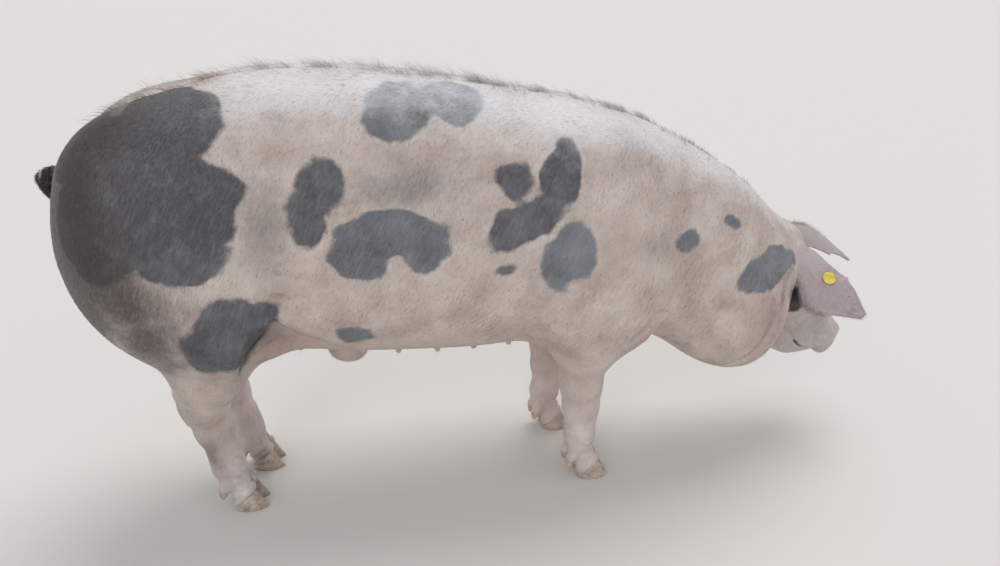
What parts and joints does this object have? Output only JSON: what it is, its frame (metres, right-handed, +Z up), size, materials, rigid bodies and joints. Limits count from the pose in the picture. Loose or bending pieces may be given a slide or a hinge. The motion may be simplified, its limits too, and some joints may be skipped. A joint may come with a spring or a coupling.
{
  "type": "pig",
  "caption": "Life-size still model of a full-grown spotted pig, standing with its head down, with a round button tag in its right ear.",
  "frame": {"origin": "centre of the bounding box on the floor, under the belly, at the level of the soles", "axes": "+X forward, from the tail to the snout; +Y to the pig's left; +Z up from the floor"},
  "size_m": [1.7704, 0.4774, 0.9097],
  "materials": {
    "skin": "thin pale skin with blue-grey spots under short hair",
    "pale_skin": "pale pink skin with few hairs",
    "snout_skin": "moist bare pink skin",
    "ear_skin": "thin pink skin with pale hair on the rim",
    "tail_skin": "dark skin with black hair",
    "horn": "worn grey-brown horn",
    "eye": "wet dark brown eye",
    "tag_plastic": "yellow moulded plastic"
  },
  "bodies": {
    "root": {"trunk": "skin", "neck": "skin", "head": "skin", "lower_jaw": "pale_skin", "snout": "snout_skin", "tail": "tail_skin", "sheath": "pale_skin", "ear_left": "ear_skin", "ear_right": "ear_skin", "ear_tag": "tag_plastic", "eye_left": "eye", "eye_right": "eye", "fore_leg_left": "skin", "fore_leg_right": "skin", "hind_leg_left": "skin", "hind_leg_right": "skin", "hind_right_claw_outer": "horn", "hind_right_claw_inner": "horn", "hind_right_dewclaw_outer": "horn", "hind_right_dewclaw_inner": "horn", "hind_left_claw_outer": "horn", "hind_left_claw_inner": "horn", "hind_left_dewclaw_outer": "horn", "hind_left_dewclaw_inner": "horn", "fore_right_claw_outer": "horn", "fore_right_claw_inner": "horn", "fore_right_dewclaw_outer": "horn", "fore_right_dewclaw_inner": "horn", "fore_left_claw_outer": "horn", "fore_left_claw_inner": "horn", "fore_left_dewclaw_outer": "horn", "fore_left_dewclaw_inner": "horn"}
  },
  "joints": []
}
